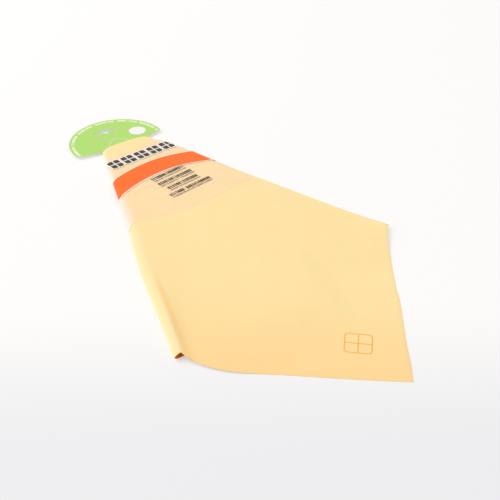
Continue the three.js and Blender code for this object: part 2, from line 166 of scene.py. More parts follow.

# Painted shade, where the light falls off towards the cloth's lower left edge: distances square to that edge,
# from the card's middle
FALLOFF_START, FALLOFF_END = 265.0, 410.0

# Grain of the materials, each with the span of noise in which it runs from one colour to the other.
# Fibre clumps are about 0.5 mm wide and board fibres 1 mm long; both are drawn larger here, as fine as
# shows from where the part is seen.
CLUMP_WIDTH, CLUMP_SPAN = 1.6, (0.35, 0.65)
CLOUD_WIDTH, CLOUD_SPAN, CLOUD_SHARE = 38.0, (0.35, 0.7), 0.5
NAP_WIDTH, NAP_HEIGHT, NAP_STRENGTH = 0.9, 0.1, 0.35
STREAK_TURN, STREAK_LENGTH, STREAK_WIDTH, STREAK_SPAN = math.radians(7.0), 90.0, 17.0, (0.5, 0.7)
BOARD_FIBRE, BOARD_SPAN, BOARD_STRENGTH = 3.0, (0.3, 0.7), 0.08
PAPER_TOOTH, TOOTH_SPAN, TOOTH_HEIGHT, TOOTH_STRENGTH = 1.2, (0.3, 0.7), 0.02, 0.1


def mix(a, b, share):
    """a where share is 0 and b where it is 1."""
    return a + (b - a) * share


def smooth(share):
    """Eases a share from 0 to 1."""
    share = np.clip(share, 0, 1)
    return share * share * (3 - 2 * share)


def ramp(value, start, end):
    """Eases from 0 at start to 1 at end."""
    return smooth((value - start) / (end - start))


def fade(share):
    """Eases from 1 to 0, level at both ends."""
    return (1 + np.cos(np.pi * np.clip(share, 0, 1))) / 2


def crest(share):
    """Falls from 1 to 0 and is steepest at its start, so the roll that it shapes has a ridge."""
    return (1 - np.clip(share, 0, 1)) ** 2


def wrap_share(y):
    """0 at the cloth's top edge and 1 at the sleeve's lower edge."""
    return ramp(y, FOLD_START_Y, SLEEVE_END_Y)


def swelling(share):
    """Rises from 0 to 1 at a third of the way and falls back to 0."""
    share = np.clip(share, 0, 1)
    return share * (1 - share) ** 2 * 27 / 4


def dying_wave(share):
    """One wave whose second half is the smaller one."""
    share = np.clip(share, 0, 1)
    return np.sin(2 * np.pi * share) * (1 - share)


def roll_share(y):
    """0 where the left roll leaves the sleeve and 1 at its mouth."""
    return np.clip((SLEEVE_END_Y - y) / (SLEEVE_END_Y - LEFT_END_Y), 0, 1)


def left_fold_x(y):
    """The roll springs outwards where it leaves the sleeve."""
    share = (FOLD_START_Y - y) / (FOLD_START_Y - LEFT_END_Y)
    return mix(LEFT_TOP_X, LEFT_END_X, share) - LEFT_BULGE * swelling(roll_share(y))


def right_swelling(y):
    """The right fold swells below the neck, as it isn't pressed flat there."""
    return swelling((FOLD_START_Y - y) / RIGHT_BULGE_LENGTH)


def right_fold_x(y):
    share = (FOLD_START_Y - y) / (FOLD_START_Y - RIGHT_END_Y)
    return mix(RIGHT_TOP_X, RIGHT_END_X, share) + RIGHT_BULGE * right_swelling(y)


def left_nose(y):
    wrapped = mix(LEFT_NOSE_TOP, LEFT_NOSE_WRAP, wrap_share(y))
    return mix(wrapped, LEFT_NOSE_MOUTH, roll_share(y))


def right_nose(y):
    return mix(RIGHT_NOSE_TOP, RIGHT_NOSE_LOOSE, ramp(y, SLEEVE_END_Y, RIGHT_END_Y))


def base_height(y):
    """The lowest layer lies on the film inside the sleeve and on the floor beyond it."""
    run_out_y = SLEEVE_END_Y - SLEEVE_RUN_OUT
    return mix(WRAPPED_BASE, FLOOR_HEIGHT, ramp(y, run_out_y, run_out_y - BASE_SETTLE))


def corner_lift(x, y):
    distance = np.hypot(x - RIGHT_END_X, y - RIGHT_END_Y)
    return CORNER_LIFT * np.clip(1 - distance / CORNER_LIFT_REACH, 0, 1) ** 2


def left_fold_height(y):
    wrapped = mix(TOP_CROWN, LEFT_WRAP_HEIGHT, wrap_share(y))
    return mix(wrapped, LEFT_MOUTH_HEIGHT, ramp(y, SLEEVE_END_Y, LEFT_END_Y))


def right_fold_height(y):
    wrapped = mix(TOP_CROWN, RIGHT_WRAP_HEIGHT, wrap_share(y))
    return mix(wrapped, RIGHT_LOOSE_HEIGHT, ramp(y, SLEEVE_END_Y, RIGHT_WING_CORNER_Y))


def crown_height(x, y):
    """Middle of the cloth between its folds: puffed in the sleeve, over the wings, then on the floor."""
    slope = (RIGHT_END_Y - RIGHT_WING_CORNER_Y) / (RIGHT_END_X - RIGHT_WING_CORNER_X)
    right_edge_y = RIGHT_WING_CORNER_Y + slope * (x - RIGHT_WING_CORNER_X)
    beside = ramp(x, LEFT_WING_END_X - WING_SETTLE, LEFT_WING_END_X + 2 * WING_SETTLE)
    wings_end_y = mix(LEFT_END_Y, right_edge_y, beside)
    over_wings = ramp(y, wings_end_y - CROWN_FALL, wings_end_y)
    wrapped = mix(TOP_CROWN, WRAP_CROWN, wrap_share(y))
    puffed = mix(wrapped, LOOSE_CROWN, ramp(y, SLEEVE_END_Y, LEFT_END_Y))
    return mix(FLOOR_HEIGHT, puffed, over_wings)


def roll_reach(y):
    wrapped = mix(ROLL_TOP_REACH, ROLL_WRAP_REACH, wrap_share(y))
    return mix(wrapped, ROLL_MOUTH_REACH, ramp(y, ROLL_NARROW_Y, RIGHT_END_Y))


def top_height(x, y):
    """Middle surface of the top layer."""
    from_left = x - left_fold_x(y) - left_nose(y)
    from_right = right_fold_x(y) - right_nose(y) - x
    crown = crown_height(x, y)
    on_roll = crest(from_left / roll_reach(y)) * ramp(y, LEFT_END_Y - CROWN_FALL, LEFT_END_Y)
    on_right = fade(from_right / RIGHT_REACH) * ramp(y, RIGHT_END_Y - CROWN_FALL, RIGHT_END_Y)
    left_rise = (left_fold_height(np.maximum(y, LEFT_END_Y)) - crown) * on_roll
    right_rise = (right_fold_height(np.maximum(y, RIGHT_END_Y)) - crown) * on_right
    return crown + left_rise + right_rise + corner_lift(x, y)


def swell(x, y):
    """Soft swells, which die out at the folds, in the sleeve and where the cloth lies on the floor."""
    total = 0
    for height, wavelength, direction, phase in SWELLS:
        along = x * math.cos(direction) + y * math.sin(direction)
        total = total + height * np.sin(2 * np.pi * along / wavelength + phase)
    inside = ramp(x - left_fold_x(y), *SWELL_LEFT) * ramp(right_fold_x(y) - x, *SWELL_RIGHT)
    return total * inside * ramp(SLEEVE_END_Y - y, *SWELL_BELOW) * ramp(crown_height(x, y), *SWELL_CROWN)


def fold_point(side, y, turn, offset=0):
    """A point on a rounded fold: turn 0 is its top, 1 its underside. side is -1 on the left."""
    nose = left_nose(y) if side < 0 else right_nose(y)
    centre_x = (left_fold_x(y) if side < 0 else right_fold_x(y)) - side * nose
    lift = 0 if side < 0 else corner_lift(centre_x, y)
    top = (left_fold_height(y) if side < 0 else right_fold_height(y)) + lift
    bottom = base_height(y) + lift
    x = centre_x + side * (nose + offset) * np.sin(np.pi * turn)
    z = (top + bottom) / 2 + ((top - bottom) / 2 + offset) * np.cos(np.pi * turn)
    return np.stack(np.broadcast_arrays(x, y, z), -1)


def lip_y(share):
    """Upper edge of the top layer: a shallow arch over the card's neck."""
    return FOLD_START_Y + LIP_HEIGHT * (1 - np.abs(2 * share - 1) ** LIP_SQUARENESS)


def lower_edge(share):
    """Lower edge of the top layer: rounded at the roll's mouth, straight to the point and up to the corner."""
    mouth = fold_point(-1, np.float64(LEFT_END_Y), 0)[:2]
    corner = fold_point(1, np.float64(RIGHT_END_Y), 0)[:2]
    along = np.array([math.cos(LEFT_EDGE_ANGLE), math.sin(LEFT_EDGE_ANGLE)])
    point = np.array([POINT_X, POINT_Y])
    straight_end = point + along * LEFT_EDGE_STRAIGHT
    round_tip = point + along * (LEFT_EDGE_STRAIGHT + LEFT_EDGE_ROUND)
    t = np.clip(share / ROUND_SHARE, 0, 1)[..., None]
    rounded = (1 - t) ** 2 * mouth + 2 * t * (1 - t) * round_tip + t ** 2 * straight_end
    s = np.clip((share - ROUND_SHARE) / (POINT_SHARE - ROUND_SHARE), 0, 1)[..., None]
    r = np.clip((share - POINT_SHARE) / (1 - POINT_SHARE), 0, 1)[..., None]
    left_wave = np.array([along[1], -along[0]]) * LEFT_EDGE_WAVE * dying_wave(s)
    right_inward = np.array([point[1] - corner[1], corner[0] - point[0]]) / math.dist(point, corner)
    right_wave = right_inward * (RIGHT_EDGE_WAVE * dying_wave(1 - r) + np.interp(r, *RIGHT_EDGE_NICKS))
    return rounded + (point - straight_end) * s + (corner - point) * r + left_wave + right_wave


def top_xy(across, down):
    """A patch spanned by the two folds, the lip and the lower edge."""
    across, down = np.broadcast_arrays(across, down)
    left = fold_point(-1, mix(FOLD_START_Y, LEFT_END_Y, down), 0)[..., :2]
    right = fold_point(1, mix(FOLD_START_Y, RIGHT_END_Y, down), 0)[..., :2]
    start = fold_point(-1, np.float64(FOLD_START_Y), 0)[:2]
    end = fold_point(1, np.float64(FOLD_START_Y), 0)[:2]
    a, d = across[..., None], down[..., None]
    lip = np.stack([mix(start[0], end[0], across), lip_y(across)], -1)
    edge = lower_edge(across)
    edge_ends = mix(lower_edge(np.float64(0)), lower_edge(np.float64(1)), a)
    return mix(left, right, a) + mix(lip, edge, d) - mix(mix(start, end, a), edge_ends, d)


def top_point(across, down):
    xy = top_xy(across, down)
    x, y = xy[..., 0], xy[..., 1]
    return np.stack([x, y, top_height(x, y) + swell(x, y)], -1)


def left_wing_point(reach, down):
    y = mix(FOLD_START_Y, LEFT_END_Y, down)
    fold_x = fold_point(-1, y, 1)[..., 0]
    x = mix(fold_x, mix(LEFT_WING_TOP_X, LEFT_WING_END_X, down), reach)
    return np.stack(np.broadcast_arrays(x, y, base_height(y)), -1)


def right_wing_point(reach, down):
    fold = fold_point(1, mix(FOLD_START_Y, RIGHT_END_Y, down), 1)
    fold_x, fold_y = fold[..., 0], fold[..., 1]
    x = mix(fold_x, mix(RIGHT_WING_TOP_X, RIGHT_WING_CORNER_X, down), reach)
    y = mix(fold_y, mix(FOLD_START_Y, RIGHT_WING_CORNER_Y, down), reach)
    over_left = mix(LEFT_WING_TOP_X, LEFT_WING_END_X, down) + WING_SETTLE
    climb = np.clip((fold_x - x) / np.maximum(fold_x - over_left, WING_SETTLE), 0, 1)
    z = base_height(y) + LAYER_STEP * climb + corner_lift(x, y)
    return np.stack(np.broadcast_arrays(x, y, z), -1)


def tuck_point(across, step):
    """The top corner turned under behind the lip: TUCK_STEPS steps go round the turn, the others inwards."""
    lip = top_point(across, np.float64(0))
    angle = np.pi * min(step / TUCK_STEPS, 1)
    depth = mix(TUCK_DEPTH, TUCK_SIDE_DEPTH, np.abs(2 * across - 1)) * max(step - TUCK_STEPS, 0) / TUCK_ROWS
    lip[..., 1] += TUCK_RADIUS * np.sin(angle) - depth
    lip[..., 2] -= TUCK_RADIUS * (1 - np.cos(angle))
    return lip


def grid_faces(columns, rows):
    """Quads of a grid whose points run down one column after the other."""
    starts = [c * rows + r for c in range(columns - 1) for r in range(rows - 1)]
    return [(i, i + 1, i + rows + 1, i + rows) for i in starts]


def placed(points):
    """Millimetres from the card's corner line to metres in the frame."""
    return np.asarray(points, float).reshape(-1, 3) * MM + np.array(ORIGIN)


def new_piece(name, points, faces):
    """A smoothly shaded piece at the world's origin, from points in millimetres."""
    mesh = bpy.data.meshes.new(name)
    mesh.from_pydata(placed(points).tolist(), [], faces)
    mesh.validate()
    piece = bpy.data.objects.new(name, mesh)
    bpy.context.scene.collection.objects.link(piece)
    bpy.ops.object.select_all(action="DESELECT")
    piece.select_set(True)
    bpy.context.view_layer.objects.active = piece
    bpy.ops.object.shade_smooth_by_angle(angle=SHARP_ANGLE)
    return piece


def linear(hex_colour):
    """An sRGB hex colour as linear red, green, blue and alpha."""
    values = [int(hex_colour[i:i + 2], 16) / 255 for i in (1, 3, 5)]
    return [v / 12.92 if v <= 0.04045 else ((v + 0.055) / 1.055) ** 2.4 for v in values] + [1.0]


def add_node(tree, kind, inputs=(), output=0, **settings):
    """Adds a shader node, sets its properties, feeds its inputs with links or values, and gives one output."""
    node = tree.nodes.new("ShaderNode" + kind)
    for key, value in settings.items():
        setattr(node, key, value)
    for index, value in inputs.items() if isinstance(inputs, dict) else enumerate(inputs):
        if isinstance(value, bpy.types.NodeSocket):
            tree.links.new(value, node.inputs[index])
        else:
            node.inputs[index].default_value = value
    return node.outputs[output]


def new_material(name, **constants):
    """A material with one principled shader, whose plain values stand on its own sockets."""
    material = bpy.data.materials.new(name)
    material.use_nodes = True
    shader = material.node_tree.nodes["Principled BSDF"]
    for key, value in constants.items():
        shader.inputs[key.replace("_", " ").title().replace("Ior", "IOR")].default_value = value
    return material, material.node_tree, shader


def dress(piece, material):
    piece.data.materials.clear()
    piece.data.materials.append(material)


def layered(tree, body, *layers):
    """Colours laid over one another, each as far as its share says."""
    # The node's sockets share their names: 0 is the share, 6 and 7 are the two colours, and 2 is the result
    for share, colour in layers:
        body = add_node(tree, "Mix", {0: share, 6: body, 7: colour}, output=2, data_type="RGBA")
    return body


def print_place(tree, centre_x, centre_y, turn):
    """Millimetres from a print's centre, turned with it and flattened, and their x and y."""
    coordinates = add_node(tree, "TexCoord", output="Object")
    centre = Vector((centre_x * MM + ORIGIN.x, centre_y * MM + ORIGIN.y, 0))
    moved = add_node(tree, "VectorMath", (coordinates, centre), operation="SUBTRACT")
    flat = add_node(tree, "VectorMath", (moved, (1 / MM, 1 / MM, 0)), operation="MULTIPLY")
    place = add_node(tree, "VectorRotate", (flat, (0, 0, 0), (0, 0, 1), -turn))
    x, y, _ = add_node(tree, "SeparateXYZ", (place,)).node.outputs
    return place, x, y


def box_distance(tree, place, half_width, half_height, corner):
    """Distance outside a rounded box, negative inside it."""
    folded = add_node(tree, "VectorMath", (place,), operation="ABSOLUTE")
    inner = (half_width - corner, half_height - corner, 0)
    beyond = add_node(tree, "VectorMath", (folded, inner), operation="SUBTRACT")
    clamped = add_node(tree, "VectorMath", (beyond, (0, 0, 0)), operation="MAXIMUM")
    length = add_node(tree, "VectorMath", (clamped,), operation="LENGTH", output="Value")
    return add_node(tree, "Math", (length, corner), operation="SUBTRACT")


def letters(tree, along, up, row, pitch, half_height):
    """1 on upright blocks of uneven widths and heights, which stand for the letters of a line of print."""
    cell = add_node(tree, "Math", (along, pitch), operation="SNAP")
    cell = add_node(tree, "CombineXYZ", (cell, row, pitch))
    draw = add_node(tree, "TexWhiteNoise", (cell,))
    width = add_node(tree, "Math", (draw, LETTER_SPREAD), operation="POWER")
    reach = add_node(tree, "Math", (width, LETTER_SHARE * pitch / 2), operation="MULTIPLY")
    in_cell = add_node(tree, "Math", (along, pitch, 0), operation="WRAP")
    across = add_node(tree, "Math", (in_cell, pitch / 2, reach), operation="COMPARE")
    height = add_node(tree, "MapRange", (draw, 0, 1, half_height, LOW_LETTER_SHARE * half_height))
    level = add_node(tree, "Math", (up, 0, height), operation="COMPARE")
    return add_node(tree, "Math", (across, level), operation="MULTIPLY")


def directly_seen(tree):
    """1 for what the camera sees itself, in a reflection or through the film, 0 for light on its way."""
    rays = add_node(tree, "LightPath").node.outputs
    seen = add_node(tree, "Math", (rays["Is Camera Ray"], rays["Is Glossy Ray"]), operation="MAXIMUM")
    return add_node(tree, "Math", (seen, rays["Is Transmission Ray"]), operation="MAXIMUM")


def cloth_material(settings):
    """Synthetic chamois, a non-woven of felted fibres: matt, with a fine nap, faint clouds and a soft glow."""
    material, tree, shader = new_material(
        "Synthetic_chamois", roughness=0.95, sheen_weight=0.12, sheen_roughness=0.5, specular_ior_level=0.2,
        subsurface_weight=0.1, subsurface_scale=0.8 * MM, subsurface_radius=(1.0, 0.5, 0.2),
    )
    coordinates = add_node(tree, "TexCoord", output="Object")
    grain = add_node(tree, "TexNoise", {
        "Vector": coordinates, "Scale": 1 / (CLUMP_WIDTH * MM), "Detail": 3.0, "Roughness": 0.6,
    })
    clouds = add_node(tree, "TexNoise", {
        "Vector": coordinates, "Scale": 1 / (CLOUD_WIDTH * MM), "Detail": 2.0, "Roughness": 0.5,
    })
    speckle = add_node(tree, "MapRange", (grain, *CLUMP_SPAN, 0, 1))
    cloudy = add_node(tree, "MapRange", (clouds, *CLOUD_SPAN, 0, CLOUD_SHARE))
    place, x, y = print_place(tree, STAMP_X, STAMP_Y, STAMP_TURN)
    from_frame = box_distance(tree, place, STAMP_HALF, STAMP_HALF, STAMP_CORNER)
    outline = add_node(tree, "Math", (from_frame, 0, STAMP_LINE), operation="COMPARE")
    upright = add_node(tree, "Math", (x, 0, STAMP_LINE), operation="COMPARE")
    level = add_node(tree, "Math", (y, 0, STAMP_LINE), operation="COMPARE")
    cross = add_node(tree, "Math", (upright, level), operation="MAXIMUM")
    within = add_node(tree, "Math", (from_frame, 0), operation="LESS_THAN")
    cross = add_node(tree, "Math", (cross, within), operation="MULTIPLY")
    stamp = add_node(tree, "Math", (outline, cross), operation="MAXIMUM")
    front = add_node(tree, "Attribute", output="Fac", attribute_name="front")
    stamp = add_node(tree, "Math", (stamp, front), operation="MULTIPLY")
    # Painted shade: the cloth is a little darker towards the lower left edge, which leads from the roll to the
    # point
    outwards = Vector((-math.sin(LEFT_EDGE_ANGLE), math.cos(LEFT_EDGE_ANGLE), 0))
    run = add_node(tree, "VectorMath", (coordinates, outwards), operation="DOT_PRODUCT", output="Value")
    start, end = (ORIGIN.dot(outwards) + depth * MM for depth in (FALLOFF_START, FALLOFF_END))
    falloff_share = add_node(tree, "MapRange", (run, start, end, 0, 1), interpolation_type="SMOOTHSTEP")
    # The inside of the roll is painted orange for the light that reaches it through the cloth and off its
    # walls
    hollow = add_node(tree, "Attribute", output="Fac", attribute_name="hollow")
    # The roll's back has a painted highlight, and the crease at its foot has painted shade
    roll_highlight = add_node(tree, "Attribute", output="Fac", attribute_name="roll_highlight")
    foot = add_node(tree, "Attribute", output="Fac", attribute_name="foot")
    body = layered(
        tree, settings.shade, (speckle, settings.colour), (cloudy, settings.cloud), (falloff_share, settings.falloff_shade),
        (roll_highlight, settings.roll_highlight), (foot, settings.foot), (stamp, settings.stamp),
        (hollow, settings.hollow),
    )
    tree.links.new(body, shader.inputs["Base Color"])
    nap = add_node(tree, "TexNoise", {
        "Vector": coordinates, "Scale": 1 / (NAP_WIDTH * MM), "Detail": 4.0, "Roughness": 0.65,
    })
    bump = add_node(tree, "Bump", {"Strength": NAP_STRENGTH, "Distance": NAP_HEIGHT * MM, "Height": nap})
    tree.links.new(bump, shader.inputs["Normal"])
    return material


def print_masks(tree):
    """Dark, orange and white ink of the sleeve's front: window panes over a band and rows of bars."""
    _, x, y = print_place(tree, PANE_ROW_X, PANE_ROW_Y, PRINT_TURN)
    in_pane = add_node(tree, "Math", (x, PANE_PITCH / 2, -PANE_PITCH / 2), operation="WRAP")
    local = add_node(tree, "CombineXYZ", (in_pane, y, 0))
    pane = box_distance(tree, local, PANE_HALF_WIDTH, PANE_HALF_HEIGHT, PANE_CORNER)
    in_row = add_node(tree, "Math", (x, 0, PANE_PITCH * PANE_COUNT / 2), operation="COMPARE")
    upright = add_node(tree, "Math", (in_pane, 0, PANE_BAR), operation="COMPARE")
    level = add_node(tree, "Math", (y, 0, PANE_BAR), operation="COMPARE")
    bars = add_node(tree, "Math", (upright, level), operation="MAXIMUM")
    glass = add_node(tree, "Math", (pane, 0), operation="LESS_THAN")
    glass = add_node(tree, "Math", (glass, in_row), operation="MULTIPLY")
    dark = add_node(tree, "Math", (glass, bars), operation="GREATER_THAN")
    outline = add_node(tree, "Math", (pane, PANE_OUTLINE), operation="LESS_THAN")
    white = add_node(tree, "Math", (outline, in_row), operation="MULTIPLY")

    _, x, y = print_place(tree, BAND_X, BAND_Y, PRINT_TURN)
    arch = add_node(tree, "Math", (x, x), operation="MULTIPLY")
    arched = add_node(tree, "Math", (arch, BAND_ARCH, y), operation="MULTIPLY_ADD")
    orange = add_node(tree, "Math", (arched, 0, BAND_HALF_HEIGHT), operation="COMPARE")
    piping = add_node(tree, "Math", (arched, 0, BAND_HALF_HEIGHT + BAND_PIPING), operation="COMPARE")
    white = add_node(tree, "Math", (white, piping), operation="MAXIMUM")

    _, x, y = print_place(tree, CAPTION_X, CAPTION_Y, CAPTION_TURN)
    row = add_node(tree, "Math", (y, CAPTION_PITCH), operation="SNAP")
    in_row = add_node(tree, "Math", (y, CAPTION_PITCH, 0), operation="WRAP")
    up = add_node(tree, "Math", (in_row, BOLD_MIDDLE), operation="SUBTRACT")
    bold = letters(tree, x, up, row, BOLD_PITCH, BOLD_HALF_HEIGHT)
    up = add_node(tree, "Math", (in_row, THIN_MIDDLE), operation="SUBTRACT")
    thin = letters(tree, x, up, row, THIN_PITCH, THIN_HALF_HEIGHT)
    bars = add_node(tree, "Math", (bold, thin), operation="MAXIMUM")
    draw = add_node(tree, "TexWhiteNoise", {"W": row}, noise_dimensions="1D")
    row_reach = add_node(tree, "MapRange", (draw, 0, 1, CAPTION_NARROW, CAPTION_HALF_WIDTH))
    within = add_node(tree, "Math", (x, 0, row_reach), operation="COMPARE")
    bars = add_node(tree, "Math", (bars, within), operation="MULTIPLY")
    on_rows = add_node(tree, "Math", (y, 0, CAPTION_PITCH * CAPTION_ROWS / 2), operation="COMPARE")
    bars = add_node(tree, "Math", (bars, on_rows), operation="MULTIPLY")
    dark = add_node(tree, "Math", (dark, bars), operation="MAXIMUM")
    return dark, orange, white


def film_material(settings):
    """Polypropylene film, blown and glossy: clear with a faint milky veil, and opaque where it is printed."""
    material, tree, shader = new_material(
        "Polypropylene_film", roughness=0.2, ior=1.49, specular_ior_level=0.2,
    )
    dark, orange, white = print_masks(tree)
    # Along its creased sides the film is painted pale for the bright surroundings that it reflects, and it is
    # a little whitened there too; its upper edge catches the light
    crease = add_node(tree, "Attribute", output="Fac", attribute_name="crease")
    body = layered(
        tree, settings.film, (crease, settings.crease_reflection_tint),
        (white, settings.white_ink), (orange, settings.orange_ink), (dark, settings.dark_ink),
    )
    tree.links.new(body, shader.inputs["Base Color"])
    ink = add_node(tree, "Math", (white, orange), operation="MAXIMUM")
    ink = add_node(tree, "Math", (ink, dark), operation="MAXIMUM")
    printed = add_node(tree, "Attribute", output="Fac", attribute_name="printed")
    ink = add_node(tree, "Math", (ink, printed), operation="MULTIPLY")
    bare = add_node(tree, "MapRange", (crease, 0, 1, settings.veil, settings.crease_reflection_veil))
    # Faint slanting streaks of painted sheen, where the film is drawn tight across the cloth
    place, _, _ = print_place(tree, 0, 0, STREAK_TURN)
    stretch = (1 / STREAK_LENGTH, 1 / STREAK_WIDTH, 0)
    drawn = add_node(tree, "VectorMath", (place, stretch), operation="MULTIPLY")
    streaks = add_node(tree, "TexNoise", {"Vector": drawn, "Scale": 1.0, "Detail": 2.0, "Roughness": 0.5})
    streaks = add_node(tree, "MapRange", (streaks, *STREAK_SPAN, 0, settings.streak_sheen))
    bare = add_node(tree, "Math", (bare, streaks), operation="ADD")
    run = add_node(tree, "Attribute", output="Fac", attribute_name="run")
    cut = add_node(tree, "MapRange", (run, 0, BRIGHT_EDGE, settings.edge_veil, bare))
    cover = add_node(tree, "MapRange", (ink, 0, 1, cut, settings.ink_cover))
    # Ink, the painted reflection on the creased sides and the veil lie on the film's outer face: its inner
    # face and cut edges are clear
    outer = add_node(tree, "Attribute", output="Fac", attribute_name="outer")
    cover = add_node(tree, "Math", (cover, outer), operation="MULTIPLY")
    tree.links.new(cover, shader.inputs["Alpha"])
    return material


def card_material(settings):
    """Coated board, offset printed: a smooth satin face, and the raw white core where it is cut."""
    material, tree, shader = new_material("Coated_board", roughness=0.42, specular_ior_level=0.4)
    coordinates = add_node(tree, "TexCoord", output="Object")
    fibres = add_node(tree, "TexNoise", {
        "Vector": coordinates, "Scale": 1 / (BOARD_FIBRE * MM), "Detail": 3.0, "Roughness": 0.5,
    })
    tone = add_node(tree, "MapRange", (fibres, *BOARD_SPAN, 0, 1))
    place, x, y = print_place(tree, 0, HEAD_CENTRE_Y, 0)
    radius = add_node(tree, "VectorMath", (place,), operation="LENGTH", output="Value")
    angle = add_node(tree, "Math", (y, x), operation="ARCTAN2")
    along = add_node(tree, "Math", (angle, RIM_RADIUS), operation="MULTIPLY")
    in_word = add_node(tree, "Math", (along, RIM_WORD, 0), operation="WRAP")
    word_reach = (RIM_WORD - RIM_WORD_GAP) / 2
    marks = add_node(tree, "Math", (in_word, RIM_WORD / 2, word_reach), operation="COMPARE")
    outwards = add_node(tree, "Math", (radius, RIM_RADIUS), operation="SUBTRACT")
    blocks = letters(tree, along, outwards, 0, RIM_PITCH, RIM_HALF_HEIGHT)
    marks = add_node(tree, "Math", (marks, blocks), operation="MULTIPLY")
    on_head = add_node(tree, "Math", (y, RIM_END_Y - HEAD_CENTRE_Y), operation="GREATER_THAN")
    marks = add_node(tree, "Math", (marks, on_head), operation="MULTIPLY")
    # The blade that cut the tab's two slanting sides has turned up a hairline of the white core
    _, x, y = print_place(tree, 0, (SLIT_TIP_Y + SLIT_BASE_Y) / 2, 0)
    sideways = add_node(tree, "Math", (x,), operation="ABSOLUTE")
    slope = SLIT_HALF_WIDTH / (SLIT_TIP_Y - SLIT_BASE_Y)
    from_side = add_node(tree, "Math", (y, slope, sideways), operation="MULTIPLY_ADD")
    hairline = add_node(tree, "Math", (from_side, SLIT_HALF_WIDTH / 2, RAW_HALF_WIDTH), operation="COMPARE")
    on_tab = add_node(tree, "Math", (y, 0, (SLIT_TIP_Y - SLIT_BASE_Y) / 2), operation="COMPARE")
    hairline = add_node(tree, "Math", (hairline, on_tab), operation="MULTIPLY")
    # The back is unprinted white board
    facing = add_node(tree, "TexCoord", output="Normal")
    up = add_node(tree, "SeparateXYZ", (facing,), output="Z")
    bare = add_node(tree, "Math", (up, 0.5), operation="LESS_THAN")
    bare = add_node(tree, "Math", (bare, hairline), operation="MAXIMUM")
    body = layered(
        tree, settings.board_shade, (tone, settings.board),
        (marks, settings.card_print), (bare, settings.core),
    )
    tree.links.new(body, shader.inputs["Base Color"])
    bump = add_node(tree, "Bump", {
        "Strength": BOARD_STRENGTH, "Distance": TOOTH_HEIGHT * MM, "Height": fibres,
    })
    tree.links.new(bump, shader.inputs["Normal"])
    return material


def label_material(settings):
    """Uncoated label paper: matt white with a faint tooth."""
    material, tree, shader = new_material("Label_paper", roughness=0.7, specular_ior_level=0.3)
    coordinates = add_node(tree, "TexCoord", output="Object")
    tooth = add_node(tree, "TexNoise", {
        "Vector": coordinates, "Scale": 1 / (PAPER_TOOTH * MM), "Detail": 3.0, "Roughness": 0.6,
    })
    tone = add_node(tree, "MapRange", (tooth, *TOOTH_SPAN, 0, 1))
    tree.links.new(layered(tree, settings.label_shade, (tone, settings.label)), shader.inputs["Base Color"])
    bump = add_node(tree, "Bump", {
        "Strength": TOOTH_STRENGTH, "Distance": TOOTH_HEIGHT * MM, "Height": tooth,
    })
    tree.links.new(bump, shader.inputs["Normal"])
    return material


def floor_material(settings):
    """A seamless white paper sweep, matt."""
    material, tree, shader = new_material("Paper_sweep", roughness=0.9, specular_ior_level=0.2)
    coordinates = add_node(tree, "TexCoord", output="Object")
    # Painted shade: the floor is darker towards its near side, for the key light falling off
    near = Vector((*settings.near, 0)).normalized()
    run = add_node(tree, "VectorMath", (coordinates, near), operation="DOT_PRODUCT", output="Value")
    share = add_node(
        tree, "MapRange", (run, settings.near_start, settings.near_end, 0, 1),
        interpolation_type="SMOOTHSTEP",
    )
    paper = layered(tree, settings.far_floor, (share, settings.near_floor_shade))
    tree.links.new(paper, shader.inputs["Base Color"])
    # The camera and reflections also see the sweep's own colour, so that the shadows on it stay pale
    glow = add_node(tree, "Emission", (paper, 1.0))
    own = add_node(tree, "Math", (directly_seen(tree), settings.floor_glow), operation="MULTIPLY")
    surface = add_node(tree, "MixShader", (own, shader.outputs[0], glow))
    tree.links.new(surface, tree.nodes["Material Output"].inputs["Surface"])
    return material


def thickened(points, faces, thickness, pinch=1.0):
    """A closed solid from a grid of middle-surface points, and which of its points are on the front.

    pinch is the share of the thickness that is left along the cut edge.
    """
    mesh = bpy.data.meshes.new("middle")
    mesh.from_pydata(np.asarray(points).tolist(), [], faces)
    normals = np.empty(len(mesh.vertices) * 3)
    mesh.vertices.foreach_get("normal", normals)
    bpy.data.meshes.remove(mesh)
    shift = normals.reshape(-1, 3) * thickness / 2
    count = len(points)
    edges = {(f[i], f[(i + 1) % len(f)]) for f in faces for i in range(len(f))}
    cut = sorted((a, b) for a, b in edges if (b, a) not in edges)
    rims = [(b, a, a + count, b + count) for a, b in cut]
    backs = [tuple(i + count for i in reversed(f)) for f in faces]
    front_shift = shift.copy()
    front_shift[[a for a, b in cut]] *= 2 * pinch - 1
    front = np.r_[np.ones(count), np.zeros(count)]
    return np.r_[points + front_shift, points - shift], [*faces, *backs, *rims], front


def add_attribute(piece, name, values, domain="POINT"):
    attribute = piece.data.attributes.new(name, "FLOAT", domain)
    attribute.data.foreach_set("value", np.asarray(values, np.float32))


